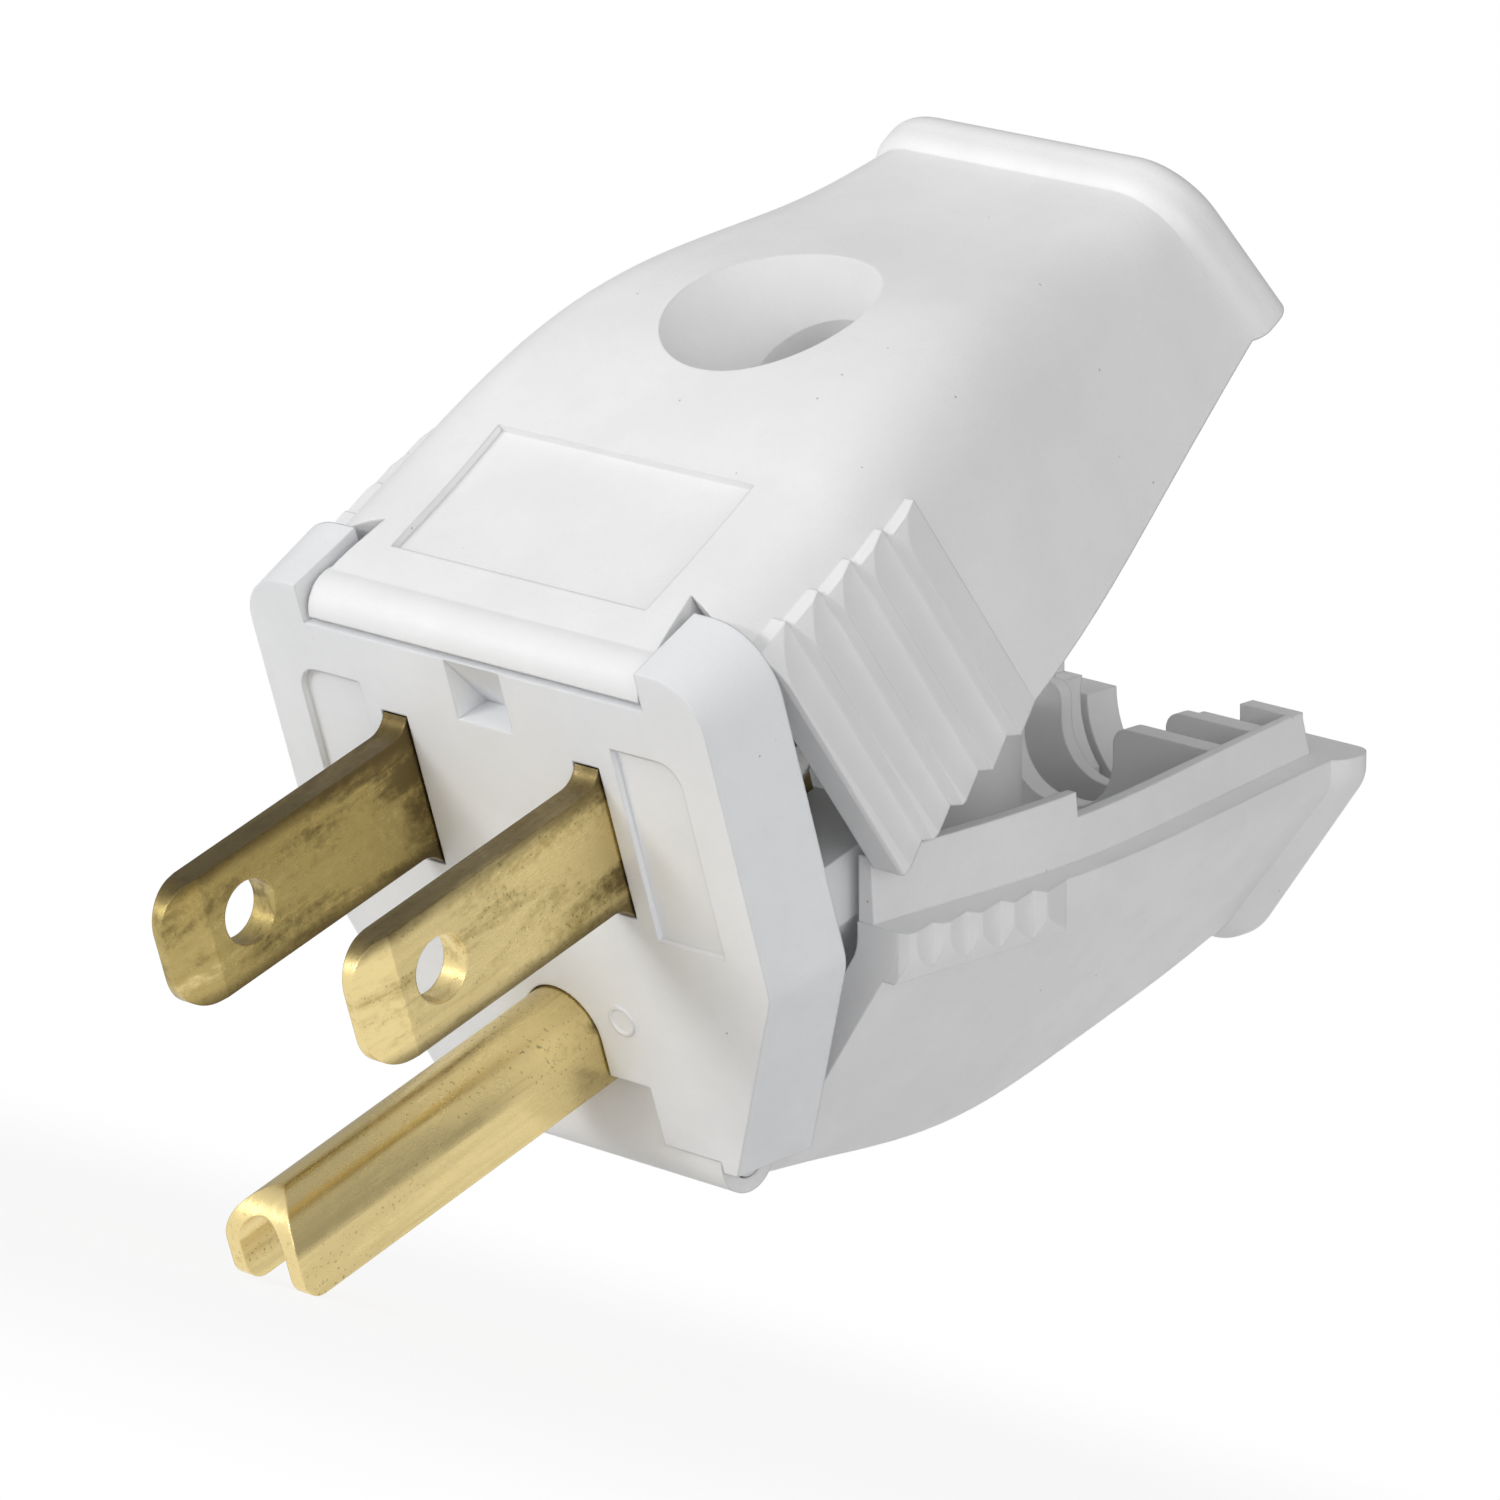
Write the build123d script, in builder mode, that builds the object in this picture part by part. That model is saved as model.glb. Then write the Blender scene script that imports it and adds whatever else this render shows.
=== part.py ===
from build123d import *
from math import radians, tan
import os

# Grounding plug with two hinged clamshell covers, shown with both covers swung open.
# X runs across the face, Y runs back from the mating face, Z runs up.
# The origin lies on the mating face, midway between the two flat blades.
# The covers are modelled closed and swung open at the end. All lengths are in millimetres.

# Prongs
blade_pitch = 12.7
blade_height = 6.35
blade_sheet = 1.52
blade_reach = 16.6
blade_hole_diameter = 3.18
blade_hole_reach = 11.7
blade_root_height = 7.9
blade_root_fillet = 1.3
blade_nose_bevel = 2.4
blade_nose_edge = 0.45
blade_nose_corner = 2.0
pin_drop = 11.9
pin_diameter = 4.75
pin_height = 4.7
pin_sheet = 0.85
pin_reach = 20.4
pin_crown_setback = 2.3
pin_toe_radius = 1.1
prong_clearance = 0.1

# Face insert
face_depth = 4.4
face_half_width = 15.8
face_top = 10.7
face_bottom = -18.4
face_bottom_half_width = 10.2
face_taper_start = -6.8
face_draft = 10.5
face_corner_radius = 3.4
face_flank_radius = 3.0
shelf_top = 7.9
lower_bay_top = -17.0
insert_rear = 13.0
insert_half_width = 12.3
insert_top = 5.8
insert_bottom = -14.8
insert_bottom_half_width = 6.6
insert_flank = -7.5
window_inner = 8.3
window_outer = 12.6
window_top = 5.3
window_bottom = -5.0
window_depth = 0.35
window_corner = 1.3
keyway_half_width = 1.8
keyway_bottom = 4.7
keyway_depth = 1.9
tab_slot_half_width = 5.1
tab_slot_top = -13.8

# Hinges of the two covers
hinge_setback = 1.9
upper_hinge_height = 8.1
lower_hinge_height = -17.9
hinge_bar_radius = 0.95
hinge_clearance = 0.08
lip_wall = 0.72
hinge_web = 0.8
upper_lip_half_width = 10.9
lower_lip_half_width = 8.5
lip_end_gap = 0.3
upper_lip_front = -19.5
lower_lip_front = 12.5
lip_rear = 33.0
upper_opening = 16.5
lower_opening = 17.0

# Covers
parting = -6.0
body_length = 42.7
cover_front = 4.65
cover_wall = 1.25
rim_wall = 1.05
rim_clearance = 0.4
rear_wall = 2.2
seam_gap = 0.04
tongue_wall = 0.95
tongue_front_height = 3.2
tongue_rear_height = 2.0
tongue_step = 19.1
tongue_front = 4.75
tongue_end_gap = 0.5
tongue_root = 0.5
tongue_hook_reach = 6.3
hollow_overrun = 1.0
corner_notch_inset = 0.8
corner_notch_depth = 1.4
corner_notch_width = 2.0
corner_notch_rise = 0.2
lower_flank_drop = 1.4
lower_flank_radius = 2.0
flange_length = 3.0
flange_height = 0.75
flange_roundness = 1.2
cord_radius = 5.2
tab_half_width = 4.75
tab_height = 3.0

# Grip ribs and label panel
rib_count = 5
rib_pitch = 2.3
rib_first = 4.7
rib_height = 0.7
rib_rise = 0.25
rib_top = 8.3
rib_stagger = 0.3
rib_skirt = 2.6
panel_half_width = 8.4
panel_front = 4.6
panel_rear = 13.0
panel_depth = 0.4

# Closing screw, its bosses and the cord cradles
screw_setback = 24.7
screw_mouth_radius = 5.4
screw_bore_radius = 3.3
screw_funnel_depth = 4.6
screw_seat = 1.0
screw_head_radius = 2.9
screw_head_height = 1.9
screw_slot_width = 0.9
screw_slot_depth = 0.9
screw_radius = 1.5
screw_length = 8.0
screw_clearance = 0.25
upper_boss_radius = 5.0
boss_joint = -2.4
boss_gap = 0.15
lower_boss_radius = 3.6
insert_nut_radius = 2.4
insert_nut_length = 5.0
cradle_setbacks = (33.4, 37.3)
cradle_wall = 1.2
cradle_half_width = 3.5
cradle_depth = 3.0
cradle_top = -4.4
cradle_arm_corner = 0.9
post_inner = 3.9
post_front = 36.9
post_top = -4.9
post_groove = 1.1
upper_cradle_setback = 29.6
upper_cradle_bottom = -3.4

# Terminals
tail_end = 12.4
terminal_screw_setback = 9.8
terminal_head_radius = 2.6
terminal_head_height = 1.5
terminal_shank_radius = 1.3
terminal_shank_length = 4.6
terminal_hole_clearance = 0.1
terminal_slot_width = 0.7
terminal_slot_depth = 0.7
pocket_front = 6.6
pocket_half_height = 4.3
ground_tail_width = 6.0
ground_pocket_half_width = 4.0
ground_pocket_front = 5.0

# Sections of the upper cover from front to back: share of the body length, crown height, step of the
# side in from the face at the parting, lean of the side wall and corner radius
upper_sections = (
    (0.045, 9.7, 0.4, 1.0, 4.2),
    (0.16, 9.7, 0.4, 0.9, 4.2),
    (0.30, 9.65, 0.25, 1.1, 4.5),
    (0.43, 9.7, 0.4, 1.6, 4.8),
    (0.58, 8.7, 1.3, 1.9, 4.8),
    (0.73, 6.2, 2.6, 2.1, 4.6),
    (0.86, 3.9, 3.7, 2.1, 4.0),
    (0.965, 2.5, 4.5, 2.2, 3.4),
)
# Sections of the lower cover: share of the body length, keel height, half width of the keel, step of
# the side in from the face at the parting and corner radius
lower_sections = (
    (0.045, -19.7, 7.0, 0.4, 2.4),
    (0.16, -20.2, 6.9, 0.4, 2.4),
    (0.30, -20.75, 6.6, 0.25, 2.4),
    (0.43, -20.85, 6.3, 0.4, 2.4),
    (0.58, -20.0, 5.7, 1.3, 2.4),
    (0.73, -18.6, 5.2, 2.6, 2.3),
    (0.86, -17.3, 4.7, 3.7, 2.2),
    (0.965, -16.3, 4.2, 4.5, 2.2),
)


def behind_face(depth):
    """Plane across the plug at a depth behind the mating face, facing the blades."""
    return Plane.XZ.offset(-depth)


def upper_outline(section, inset, skirt):
    """Outline of the upper cover at one section, drawn in by the inset and run down below the parting."""
    share, crown, side_step, side_lean, corner = section
    seam_half = face_half_width - side_step
    crown_half = seam_half - side_lean
    with BuildSketch(behind_face(share * body_length)) as outline:
        Polygon(
            (-seam_half + inset, parting - skirt),
            (seam_half - inset, parting - skirt),
            (seam_half - inset, parting),
            (crown_half - inset, crown - inset),
            (-crown_half + inset, crown - inset),
            (-seam_half + inset, parting),
            align=None,
        )
        fillet(outline.vertices().group_by(Axis.Y)[-1], corner - inset)
    return outline.sketch


def lower_outline(section, seam_inset, inset, skirt):
    """Outline of the lower cover at one section, with a thicker wall at the seam than at the keel."""
    share, keel, keel_half, side_step, corner = section
    seam_half = face_half_width - side_step
    flank = parting - lower_flank_drop
    with BuildSketch(behind_face(share * body_length)) as outline:
        Polygon(
            (-seam_half + seam_inset, parting + skirt),
            (-seam_half + seam_inset, flank),
            (-keel_half + inset, keel + inset),
            (keel_half - inset, keel + inset),
            (seam_half - seam_inset, flank),
            (seam_half - seam_inset, parting + skirt),
            align=None,
        )
        rows = outline.vertices().group_by(Axis.Y)
        fillet(rows[0], corner - inset)
        fillet(outline.vertices().filter_by(lambda v: abs(v.Y - flank) < 0.001), lower_flank_radius)
    return outline.sketch


def tongue_outline(section, inset, height):
    """Band across the lower cover at one section that leans in with the wall of the upper cover."""
    share, crown, side_step, side_lean, corner = section
    foot_half = face_half_width - side_step - inset
    head_half = foot_half - height * side_lean / (crown - cover_wall - parting)
    with BuildSketch(behind_face(share * body_length)) as band:
        Polygon(
            (-foot_half, parting - tongue_root),
            (foot_half, parting - tongue_root),
            (foot_half, parting),
            (head_half, parting + height),
            (-head_half, parting + height),
            (-foot_half, parting),
            align=None,
        )
    return band.sketch


def across(height):
    """Plane square to the sides of the plug at a height, facing up."""
    return Plane.XY.offset(height)


# Flat blade: side profile with a hole and a flared root, then a bevelled nose
root_rise = (blade_root_height - blade_height) / 2
root_run = (blade_root_fillet**2 - (blade_root_fillet - root_rise) ** 2) ** 0.5
with BuildPart() as blade:
    with BuildSketch(Plane.YZ) as blade_profile:
        with BuildLine():
            Line((-blade_reach, 0), (-blade_reach, blade_height / 2))
            Line((-blade_reach, blade_height / 2), (-root_run, blade_height / 2))
            TangentArc((-root_run, blade_height / 2), (0, blade_root_height / 2), tangent=(1, 0))
            Line((0, blade_root_height / 2), (tail_end, blade_root_height / 2))
            Line((tail_end, blade_root_height / 2), (tail_end, 0))
            mirror(about=Plane.XZ)
        make_face()
        fillet(blade_profile.vertices().group_by(Axis.X)[0].sort_by(Axis.Y)[0], blade_nose_corner)
        fillet(blade_profile.vertices().group_by(Axis.X)[0].sort_by(Axis.Y)[-1], blade_nose_corner)
        with Locations((-blade_hole_reach, 0)):
            Circle(blade_hole_diameter / 2, mode=Mode.SUBTRACT)
        with Locations((terminal_screw_setback, 0)):
            Circle(terminal_shank_radius + terminal_hole_clearance, mode=Mode.SUBTRACT)
    extrude(amount=blade_sheet / 2, both=True)
    with BuildSketch(across(-blade_root_height)):
        Polygon(
            (-blade_sheet / 2 + blade_nose_edge, -blade_reach),
            (blade_sheet / 2 - blade_nose_edge, -blade_reach),
            (blade_sheet / 2, -blade_reach + blade_nose_bevel),
            (blade_sheet / 2, tail_end),
            (-blade_sheet / 2, tail_end),
            (-blade_sheet / 2, -blade_reach + blade_nose_bevel),
            align=None,
        )
    extrude(amount=2 * blade_root_height, mode=Mode.INTERSECT)

with BuildPart() as hot_blade:
    add(blade.part.moved(Location((-blade_pitch / 2, 0, 0))))

with BuildPart() as neutral_blade:
    add(blade.part.moved(Location((blade_pitch / 2, 0, 0))))

# Ground pin: sheet folded to a U that is open underneath, with rounded noses and a flat tail
pin_radius = pin_diameter / 2
pin_top = -pin_drop + pin_radius
pin_foot = pin_top - pin_height
with BuildPart() as ground_pin:
    with BuildSketch(behind_face(-pin_reach)):
        with Locations((0, -pin_drop)):
            Circle(pin_radius)
            Circle(pin_radius - pin_sheet, mode=Mode.SUBTRACT)
        with Locations((0, -pin_drop)):
            Rectangle(pin_diameter, pin_drop + pin_foot, align=(Align.CENTER, Align.MAX))
            Rectangle(
                pin_diameter - 2 * pin_sheet,
                pin_drop + pin_foot + pin_diameter,
                align=(Align.CENTER, Align.MAX),
                mode=Mode.SUBTRACT,
            )
    extrude(amount=-(pin_reach + pocket_front))
    with BuildSketch(Plane.YZ) as nose:
        with Locations((-pin_reach, pin_foot)):
            Rectangle(pin_reach + pocket_front, pin_height, align=(Align.MIN, Align.MIN))
        front = nose.vertices().group_by(Axis.X)[0].sort_by(Axis.Y)
        fillet(front[-1], pin_crown_setback)
        front = nose.vertices().group_by(Axis.X)[0].sort_by(Axis.Y)
        fillet(front[0], pin_toe_radius)
    extrude(amount=pin_diameter, both=True, mode=Mode.INTERSECT)
    with BuildSketch(across(pin_top)):
        with Locations((0, ground_pocket_front)):
            Rectangle(ground_tail_width, tail_end - ground_pocket_front, align=(Align.CENTER, Align.MIN))
        with Locations((0, terminal_screw_setback)):
            Circle(terminal_shank_radius + terminal_hole_clearance, mode=Mode.SUBTRACT)
    extrude(amount=-pin_sheet)

# Face insert: drafted plate with corner blocks, terminal block behind it and a bar for each hinge
lip_radius = hinge_bar_radius + hinge_clearance + lip_wall
mouth_reach = 3 * lip_radius
upper_bay = upper_lip_half_width + lip_end_gap
lower_bay = lower_lip_half_width + lip_end_gap
with BuildPart() as face_insert:
    with BuildSketch(behind_face(face_depth)) as plate:
        Polygon(
            (-face_half_width, face_top),
            (-face_half_width, face_taper_start),
            (-face_bottom_half_width, face_bottom),
            (face_bottom_half_width, face_bottom),
            (face_half_width, face_taper_start),
            (face_half_width, face_top),
            align=None,
        )
        fillet(plate.vertices().group_by(Axis.Y)[-1], face_corner_radius)
        fillet(plate.vertices().filter_by(lambda v: abs(v.Y - face_taper_start) < 0.001), face_flank_radius)
    extrude(amount=face_depth, taper=face_draft)
    # Bays for the rolled lips of the covers
    with BuildSketch(behind_face(face_depth)):
        with Locations((0, shelf_top)):
            Rectangle(2 * upper_bay, face_top, align=(Align.CENTER, Align.MIN))
    extrude(amount=face_depth, mode=Mode.SUBTRACT)
    with BuildSketch(Plane.YZ):
        with Locations((hinge_setback, upper_hinge_height)):
            Circle(lip_radius + lip_end_gap / 2)
        with Locations((hinge_setback, shelf_top)):
            Rectangle(face_depth, face_depth, align=(Align.MAX, Align.MAX), mode=Mode.SUBTRACT)
    extrude(amount=upper_bay, both=True, mode=Mode.SUBTRACT)
    with BuildSketch(behind_face(face_depth)):
        with Locations((0, lower_bay_top)):
            Rectangle(2 * lower_bay, face_depth, align=(Align.CENTER, Align.MAX))
    extrude(amount=face_depth, mode=Mode.SUBTRACT)
    with BuildSketch(Plane.YZ):
        with Locations((hinge_setback, lower_hinge_height)):
            Circle(lip_radius + lip_end_gap / 2)
    extrude(amount=lower_bay, both=True, mode=Mode.SUBTRACT)
    # Hinge bars on their webs
    with BuildSketch(Plane.YZ):
        with Locations((hinge_setback, upper_hinge_height)):
            Circle(hinge_bar_radius)
            Rectangle(hinge_web, 2 * lip_radius, align=(Align.CENTER, Align.MAX))
    extrude(amount=upper_bay, both=True)
    with BuildSketch(Plane.YZ):
        with Locations((hinge_setback, lower_hinge_height)):
            Circle(hinge_bar_radius)
            Rectangle(hinge_web, 2 * lip_radius, align=(Align.CENTER, Align.MIN))
    extrude(amount=lower_lip_half_width, both=True)
    # Terminal block
    with BuildSketch(behind_face(face_depth)):
        Polygon(
            (-insert_half_width, insert_top),
            (-insert_half_width, insert_flank),
            (-insert_bottom_half_width, insert_bottom),
            (insert_bottom_half_width, insert_bottom),
            (insert_half_width, insert_flank),
            (insert_half_width, insert_top),
            align=None,
        )
    extrude(amount=face_depth - insert_rear)
    # Slots for the blades and pockets for their terminals
    with BuildSketch(behind_face(0)):
        with Locations((-blade_pitch / 2, 0), (blade_pitch / 2, 0)):
            Rectangle(blade_sheet + 2 * prong_clearance, blade_root_height + 2 * prong_clearance)
    extrude(amount=-insert_rear, mode=Mode.SUBTRACT)
    with BuildSketch(behind_face(pocket_front)):
        with Locations((blade_pitch / 2, 0)):
            Rectangle(insert_half_width, 2 * pocket_half_height, align=(Align.MIN, Align.CENTER))
        with Locations((-blade_pitch / 2, 0)):
            Rectangle(insert_half_width, 2 * pocket_half_height, align=(Align.MAX, Align.CENTER))
    extrude(amount=pocket_front - insert_rear, mode=Mode.SUBTRACT)
    with BuildSketch(Plane.YZ):
        with Locations((terminal_screw_setback, 0)):
            Circle(terminal_shank_radius + 2 * terminal_hole_clearance)
    extrude(amount=blade_pitch / 2, both=True, mode=Mode.SUBTRACT)
    # Hole for the ground pin, pocket for its tail and bore for its screw
    with BuildSketch(behind_face(0)):
        with Locations((0, -pin_drop)):
            Circle(pin_radius + prong_clearance)
            Rectangle(pin_diameter + 2 * prong_clearance, pin_height, align=(Align.CENTER, Align.MAX))
    extrude(amount=-pocket_front, mode=Mode.SUBTRACT)
    with BuildSketch(behind_face(ground_pocket_front)):
        with Locations((0, pin_top + prong_clearance)):
            Rectangle(2 * ground_pocket_half_width, insert_rear, align=(Align.CENTER, Align.MAX))
    extrude(amount=ground_pocket_front - insert_rear, mode=Mode.SUBTRACT)
    with BuildSketch(across(pin_top)):
        with Locations((0, terminal_screw_setback)):
            Circle(terminal_shank_radius + 2 * terminal_hole_clearance)
    extrude(amount=terminal_shank_length, mode=Mode.SUBTRACT)
    # Slot for the tab of the lower cover
    with BuildSketch(behind_face(0)):
        with Locations((0, tab_slot_top)):
            Rectangle(2 * tab_slot_half_width, -tab_slot_top, align=(Align.CENTER, Align.MAX))
    extrude(amount=-pocket_front, mode=Mode.SUBTRACT)
    # Keyway at the top of the face and the two sunk windows
    with BuildSketch(Plane.YZ):
        Polygon((0, shelf_top), (keyway_depth, keyway_bottom), (0, keyway_bottom), align=None)
    extrude(amount=keyway_half_width, both=True, mode=Mode.SUBTRACT)
    with BuildSketch(behind_face(0)) as windows:
        with Locations((window_outer, window_top)):
            Rectangle(window_outer - window_inner, window_top - window_bottom, align=(Align.MAX, Align.MAX))
        fillet(windows.vertices().sort_by(Axis.Y)[-2:].sort_by(Axis.X)[-1], window_corner)
        mirror(about=Plane.YZ)
    extrude(amount=-window_depth, mode=Mode.SUBTRACT)

# Closed outer form of the upper cover and the hollow inside it
with BuildPart() as upper_form:
    loft([upper_outline(section, 0.0, 0.0) for section in upper_sections])

with BuildPart() as upper_hollow:
    loft([upper_outline(section, cover_wall, hollow_overrun) for section in upper_sections])
    split(bisect_by=behind_face(body_length - rear_wall), keep=Keep.TOP)

# Grip ribs: saw teeth that lean with the side walls, kept to a skin round the upper cover
side_seam = face_half_width - upper_sections[2][2]
side_slope = upper_sections[2][3] / (upper_sections[2][1] - parting)
with BuildPart() as rib_teeth:
    for index in range(rib_count):
        start = rib_first + index * rib_pitch
        with BuildSketch(across(parting)):
            Polygon(
                (side_seam - 2 * cover_wall, start),
                (side_seam, start),
                (side_seam + rib_height, start + rib_rise),
                (side_seam, start + rib_pitch),
                (side_seam - 2 * cover_wall, start + rib_pitch),
                align=None,
            )
        extrude(amount=rib_top - index * rib_stagger - parting, dir=(-side_slope, 0, 1))
    mirror(about=Plane.YZ)

with BuildPart() as upper_ribs:
    loft([upper_outline(section, -rib_height, 0.0) for section in upper_sections])
    add(rib_teeth.part, mode=Mode.INTERSECT)

# Rolled lip that turns on the upper hinge bar, open below for the web
with BuildPart() as upper_lip:
    with BuildSketch(Plane.YZ):
        with Locations((hinge_setback, upper_hinge_height)):
            Circle(lip_radius)
            Polygon(
                (0, 0),
                (-mouth_reach, -mouth_reach * tan(radians(upper_lip_front))),
                (0, -2 * mouth_reach),
                (mouth_reach * tan(radians(lip_rear)), -mouth_reach),
                align=None,
                mode=Mode.SUBTRACT,
            )
    extrude(amount=upper_lip_half_width, both=True)

# Boss for the closing screw, flared to carry the funnel
funnel_slope = (screw_mouth_radius - screw_bore_radius) / screw_funnel_depth
crown_at_screw = upper_sections[4][1]
funnel_foot = crown_at_screw - screw_funnel_depth
screw_axis = Axis((0, screw_setback, 0), (0, 0, 1))
with BuildPart() as upper_boss:
    with BuildSketch(behind_face(screw_setback)):
        Polygon(
            (0, boss_joint + boss_gap),
            (upper_boss_radius, boss_joint + boss_gap),
            (upper_boss_radius, funnel_foot),
            (upper_boss_radius + 2 * screw_funnel_depth * funnel_slope, funnel_foot + 2 * screw_funnel_depth),
            (0, funnel_foot + 2 * screw_funnel_depth),
            align=None,
        )
    revolve(axis=screw_axis)
    add(upper_form.part, mode=Mode.INTERSECT)

# Comb that presses the cord down from the upper cover
with BuildPart() as upper_comb:
    with BuildSketch(behind_face(upper_cradle_setback + cradle_wall / 2)) as comb:
        with Locations((0, upper_cradle_bottom)):
            Rectangle(2 * upper_boss_radius + 2 * cradle_half_width, insert_rear, align=(Align.CENTER, Align.MIN))
        with Locations((0, upper_cradle_bottom)):
            Circle(cradle_half_width, mode=Mode.SUBTRACT)
    extrude(amount=cradle_wall)
    add(upper_form.part, mode=Mode.INTERSECT)

# Sunk label panel on the crown, as deep as the crown moved down by the panel depth
with BuildPart() as label_recess:
    with BuildSketch(across(parting)):
        with Locations((0, panel_front)):
            Rectangle(2 * panel_half_width, panel_rear - panel_front, align=(Align.CENTER, Align.MIN))
    extrude(amount=-2 * parting + body_length / 2)
    add(upper_form.part.moved(Location((0, 0, -panel_depth))), mode=Mode.SUBTRACT)

# Rounded flange at the tail of the upper cover
with BuildPart() as upper_flange:
    extrude(upper_outline((1.0,) + upper_sections[-1][1:], -flange_height, 0.0), amount=flange_length)
    rims = upper_flange.edges().filter_by(lambda e: abs(e.center().Z - parting) > 0.01)
    fillet(rims.group_by(Axis.Y)[0] + rims.group_by(Axis.Y)[-1], flange_roundness)

# Upper cover, closed
with BuildPart() as upper_cover:
    add(upper_form.part)
    add(upper_ribs.part)
    add(upper_flange.part)
    add(upper_hollow.part, mode=Mode.SUBTRACT)
    with BuildSketch(across(parting)):
        Polygon(
            (upper_lip_half_width, -cover_front),
            (upper_lip_half_width, hinge_setback),
            (upper_lip_half_width - corner_notch_inset, cover_front + corner_notch_depth),
            (upper_lip_half_width + corner_notch_width, cover_front + corner_notch_rise),
            (2 * face_half_width, cover_front),
            (2 * face_half_width, -cover_front),
            align=None,
        )
        mirror(about=Plane.YZ)
    extrude(amount=face_top - 2 * parting, mode=Mode.SUBTRACT)
    add(upper_lip.part)
    add(upper_boss.part)
    add(upper_comb.part)
    add(label_recess.part, mode=Mode.SUBTRACT)
    with BuildSketch(Plane.YZ):
        with Locations((hinge_setback, upper_hinge_height)):
            Circle(hinge_bar_radius + hinge_clearance)
    extrude(amount=upper_lip_half_width, both=True, mode=Mode.SUBTRACT)
    with BuildSketch(behind_face(screw_setback)):
        Polygon(
            (0, boss_joint),
            (screw_radius + screw_clearance, boss_joint),
            (screw_radius + screw_clearance, screw_seat),
            (screw_bore_radius, screw_seat),
            (screw_bore_radius, funnel_foot),
            (screw_bore_radius + 2 * screw_funnel_depth * funnel_slope, funnel_foot + 2 * screw_funnel_depth),
            (0, funnel_foot + 2 * screw_funnel_depth),
            align=None,
        )
    revolve(axis=screw_axis, mode=Mode.SUBTRACT)
    with BuildSketch(behind_face(body_length)):
        with Locations((0, parting)):
            Circle(cord_radius)
    extrude(amount=rear_wall + flange_length, mode=Mode.SUBTRACT)

# Closed outer form of the lower cover, the hollow inside it and the room its inner walls stand in
rim_ledge = rim_wall + rim_clearance
with BuildPart() as lower_form:
    loft([lower_outline(section, 0.0, 0.0, -seam_gap) for section in lower_sections])

with BuildPart() as lower_hollow:
    hollow_side = rim_ledge + tongue_wall
    hollow_top = tongue_front_height + hollow_overrun
    loft([lower_outline(section, hollow_side, cover_wall, hollow_top) for section in lower_sections])
    split(bisect_by=behind_face(body_length - rear_wall), keep=Keep.TOP)

with BuildPart() as lower_room:
    room_side = rim_ledge + tongue_wall / 2
    room_height = boss_joint - parting
    loft([lower_outline(section, room_side, cover_wall / 2, room_height) for section in lower_sections])

# Short ends of the grip ribs under the parting
with BuildPart() as lower_teeth:
    with BuildSketch(across(parting - seam_gap)):
        for index in range(rib_count):
            start = rib_first + index * rib_pitch
            Polygon(
                (side_seam - 2 * rib_skirt, start),
                (side_seam, start),
                (side_seam + rib_height, start + rib_rise),
                (side_seam, start + rib_pitch),
                (side_seam - 2 * rib_skirt, start + rib_pitch),
                align=None,
            )
        mirror(about=Plane.YZ)
    extrude(amount=-rib_skirt)

with BuildPart() as lower_ribs:
    loft([lower_outline(section, -rib_height, -rib_height, 0.0) for section in lower_sections])
    add(lower_teeth.part, mode=Mode.INTERSECT)
    add(lower_room.part, mode=Mode.SUBTRACT)

# Tongue that stands inside the rim of the upper cover, taller at the front, before it is hollowed
tongue_end = body_length - rear_wall - tongue_end_gap
with BuildPart() as tongue:
    loft([tongue_outline(section, rim_ledge, tongue_front_height) for section in upper_sections])
    with BuildSketch(across(parting + tongue_rear_height)):
        with Locations((0, tongue_step)):
            Rectangle(4 * side_seam, body_length, align=(Align.CENTER, Align.MIN))
    extrude(amount=tongue_front_height, mode=Mode.SUBTRACT)
    split(bisect_by=behind_face(tongue_front), keep=Keep.BOTTOM)
    split(bisect_by=behind_face(tongue_end), keep=Keep.TOP)

# Cradles for the cord across the tail of the lower cover
with BuildPart() as cradles:
    for setback in cradle_setbacks:
        with BuildSketch(behind_face(setback + cradle_wall / 2)) as cradle:
            with Locations((0, cradle_top)):
                Rectangle(2 * side_seam, 2 * side_seam, align=(Align.CENTER, Align.MAX))
            with Locations((0, cradle_top)):
                Rectangle(
                    2 * cradle_half_width,
                    cradle_top - parting + cradle_depth,
                    align=(Align.CENTER, Align.MAX),
                    mode=Mode.SUBTRACT,
                )
            bottom = cradle.vertices().filter_by(lambda v: abs(v.Y - parting + cradle_depth) < 0.001)
            fillet(bottom, cradle_half_width - cradle_wall / 2)
            top = cradle.vertices().filter_by(lambda v: abs(v.Y - cradle_top) < 0.001 and abs(v.X) < side_seam / 2)
            fillet(top, cradle_arm_corner)
        extrude(amount=cradle_wall)
    add(lower_room.part, mode=Mode.INTERSECT)

# Hooks at the ends of the tongue and a grooved post beside the rear cradle
with BuildPart() as tail_walls:
    with BuildSketch(across(parting + tongue_rear_height)):
        with Locations((tongue_hook_reach, tongue_end)):
            Rectangle(side_seam, tongue_wall, align=(Align.MIN, Align.MAX))
        with Locations((-tongue_hook_reach, tongue_end)):
            Rectangle(side_seam, tongue_wall, align=(Align.MAX, Align.MAX))
    extrude(amount=-side_seam)
    with BuildSketch(across(post_top)):
        with Locations((-post_inner, tongue_end)):
            Rectangle(side_seam, tongue_end - post_front, align=(Align.MAX, Align.MAX))
        with Locations((-post_inner, (tongue_end + cradle_setbacks[1]) / 2)):
            Rectangle(post_groove, post_groove, mode=Mode.SUBTRACT)
    extrude(amount=-side_seam)
    add(lower_room.part, mode=Mode.INTERSECT)

# Boss for the closing screw
with BuildPart() as lower_boss:
    with BuildSketch(across(boss_joint - boss_gap)):
        with Locations((0, screw_setback)):
            Circle(lower_boss_radius)
    extrude(amount=-side_seam - room_height)
    add(lower_room.part, mode=Mode.INTERSECT)

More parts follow.
